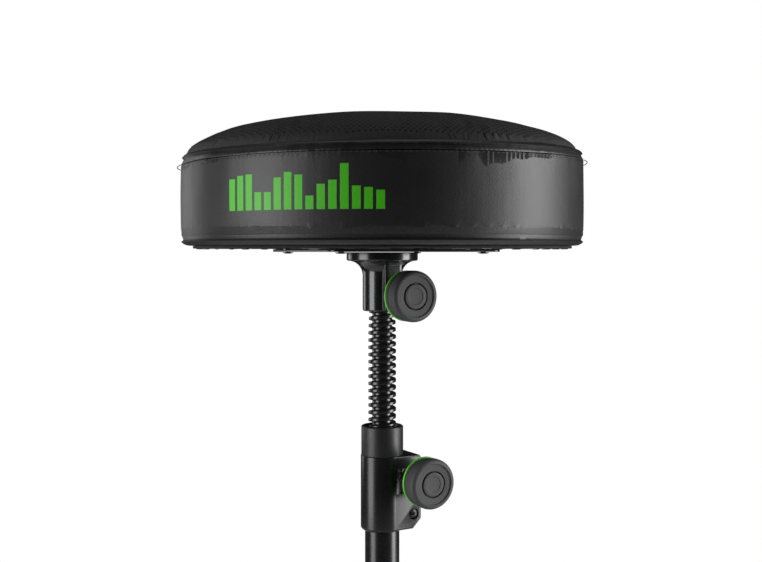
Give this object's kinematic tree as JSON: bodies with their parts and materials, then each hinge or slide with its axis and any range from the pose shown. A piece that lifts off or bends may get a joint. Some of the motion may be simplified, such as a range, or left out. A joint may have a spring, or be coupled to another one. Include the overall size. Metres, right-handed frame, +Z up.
{
  "type": "drum throne",
  "caption": "Round padded drum throne on a screw spindle with a clamp housing, clamping knobs and a folding double-braced tripod.",
  "frame": {"origin": "on the floor, in the middle of the whole stool's plan box with the legs open; the tube's axis stands at y = -42.5 mm", "axes": "+Z up; one leg points to +Y and the printed side of the seat, the knobs and the collar knob face -Y"},
  "size_m": [0.4458, 0.417, 0.6],
  "materials": {
    "black_powder_coat": "satin black powder coat",
    "gloss_black_casting": "gloss black lacquer",
    "blackened_steel": "black oxide",
    "zinc_steel": "bright zinc plate",
    "black_plastic": "moulded black nylon",
    "grip_rubber": "dark grey soft rubber",
    "foot_rubber": "matt black rubber",
    "green_plastic": "bright green plastic",
    "imitation_leather": "fine-grained black imitation leather",
    "spacer_mesh": "black knitted spacer mesh",
    "dust_cover_felt": "black non-woven cloth",
    "foam": "grey seat foam",
    "plywood": "plain birch plywood"
  },
  "bodies": {
    "base": {"base_tube": "black_powder_coat", "tube_end_plug": "black_plastic", "brace_collar": "black_plastic", "brace_collar_screw": "blackened_steel", "clamp_housing": "black_powder_coat", "clamp_screw": "zinc_steel", "spindle_nut": "black_plastic"},
    "spindle_guide": {"guide_bush": "black_plastic"},
    "spindle": {"spindle": "gloss_black_casting", "guide_screw": "zinc_steel"},
    "seat": {"seat_socket": "gloss_black_casting", "mounting_plate": "black_powder_coat", "plate_screw_1": "blackened_steel", "plate_screw_2": "blackened_steel", "plate_screw_3": "blackened_steel", "plate_screw_4": "blackened_steel", "dust_cover": "dust_cover_felt", "seat_board": "plywood", "foam_core": "foam", "side_band": "imitation_leather", "trim_strip": "imitation_leather", "mesh_cover": "spacer_mesh"},
    "seat_knob": {"seat_knob_bolt": "zinc_steel", "seat_knob_grip": "grip_rubber", "seat_knob_ring": "green_plastic", "seat_knob_cap": "grip_rubber"},
    "height_knob": {"height_knob_bolt": "zinc_steel", "height_knob_grip": "grip_rubber", "height_knob_ring": "green_plastic", "height_knob_cap": "grip_rubber"},
    "leg_collar": {"leg_collar": "black_plastic"},
    "collar_knob": {"collar_knob_bolt": "zinc_steel", "collar_knob_grip": "grip_rubber", "collar_knob_ring": "green_plastic", "collar_knob_cap": "grip_rubber"},
    "leg_1": {"leg_1_strip_left": "black_powder_coat", "leg_1_strip_right": "black_powder_coat", "leg_1_pivot_rivet": "zinc_steel", "leg_1_link_rivet_left": "zinc_steel", "leg_1_link_rivet_right": "zinc_steel", "leg_1_foot": "foot_rubber"},
    "brace_1": {"brace_1_channel": "black_powder_coat", "brace_1_pivot_rivet": "zinc_steel"},
    "leg_2": {"leg_2_strip_left": "black_powder_coat", "leg_2_strip_right": "black_powder_coat", "leg_2_pivot_rivet": "zinc_steel", "leg_2_link_rivet_left": "zinc_steel", "leg_2_link_rivet_right": "zinc_steel", "leg_2_foot": "foot_rubber"},
    "brace_2": {"brace_2_channel": "black_powder_coat", "brace_2_pivot_rivet": "zinc_steel"},
    "leg_3": {"leg_3_strip_left": "black_powder_coat", "leg_3_strip_right": "black_powder_coat", "leg_3_pivot_rivet": "zinc_steel", "leg_3_link_rivet_left": "zinc_steel", "leg_3_link_rivet_right": "zinc_steel", "leg_3_foot": "foot_rubber"},
    "brace_3": {"brace_3_channel": "black_powder_coat", "brace_3_pivot_rivet": "zinc_steel"}
  },
  "joints": [
    {"name": "height_slide", "type": "slide", "parent": "base", "child": "spindle_guide", "axis": [0, 0, 1], "range_m": [-0.09, 0.07]},
    {"name": "spindle_turn", "type": "hinge", "parent": "spindle_guide", "child": "spindle", "pos_m": [0, -0.04246, 0.34635], "axis": [0, 0, 1], "range_deg": [-5406, 4206]},
    {"name": "seat_swivel", "type": "hinge", "parent": "spindle", "child": "seat", "pos_m": [0, -0.04246, 0.44135], "axis": [0, 0, 1], "continuous": true},
    {"name": "seat_knob_turn", "type": "hinge", "parent": "seat", "child": "seat_knob", "pos_m": [0.01875, -0.07494, 0.45495], "axis": [0.5, -0.866, 0], "range_deg": [0, 1080]},
    {"name": "height_knob_turn", "type": "hinge", "parent": "base", "child": "height_knob", "pos_m": [0.03357, -0.06061, 0.30335], "axis": [0.5, -0.866, 0], "range_deg": [0, 1080]},
    {"name": "collar_slide", "type": "slide", "parent": "base", "child": "leg_collar", "axis": [0, 0, 1], "range_m": [0, 0.07492]},
    {"name": "collar_knob_turn", "type": "hinge", "parent": "leg_collar", "child": "collar_knob", "pos_m": [0, -0.07646, 0.16813], "axis": [0, -1, 0], "range_deg": [0, 1080]},
    {"name": "leg_1_fold", "type": "hinge", "parent": "leg_collar", "child": "leg_1", "pos_m": [0, -0.01436, 0.16813], "axis": [-1, 0, 0], "range_deg": [0, 44]},
    {"name": "brace_1_fold", "type": "hinge", "parent": "base", "child": "brace_1", "pos_m": [0, -0.01436, 0.045], "axis": [1, 0, 0], "range_deg": [0, 44]},
    {"name": "leg_2_fold", "type": "hinge", "parent": "leg_collar", "child": "leg_2", "pos_m": [-0.02433, -0.05651, 0.16813], "axis": [0.5, -0.866, 0], "range_deg": [0, 44]},
    {"name": "brace_2_fold", "type": "hinge", "parent": "base", "child": "brace_2", "pos_m": [-0.02433, -0.05651, 0.045], "axis": [-0.5, 0.866, 0], "range_deg": [0, 44]},
    {"name": "leg_3_fold", "type": "hinge", "parent": "leg_collar", "child": "leg_3", "pos_m": [0.02433, -0.05651, 0.16813], "axis": [0.5, 0.866, 0], "range_deg": [0, 44]},
    {"name": "brace_3_fold", "type": "hinge", "parent": "base", "child": "brace_3", "pos_m": [0.02433, -0.05651, 0.045], "axis": [-0.5, -0.866, 0], "range_deg": [0, 44]}
  ],
  "couplings": [
    {"joint": "spindle_turn", "follows": "height_slide", "rad_per_m": 1047.2},
    {"joint": "leg_1_fold", "follows": "collar_slide", "rad_per_m": 10.25},
    {"joint": "brace_1_fold", "follows": "collar_slide", "rad_per_m": 10.25},
    {"joint": "leg_2_fold", "follows": "collar_slide", "rad_per_m": 10.25},
    {"joint": "brace_2_fold", "follows": "collar_slide", "rad_per_m": 10.25},
    {"joint": "leg_3_fold", "follows": "collar_slide", "rad_per_m": 10.25},
    {"joint": "brace_3_fold", "follows": "collar_slide", "rad_per_m": 10.25}
  ]
}
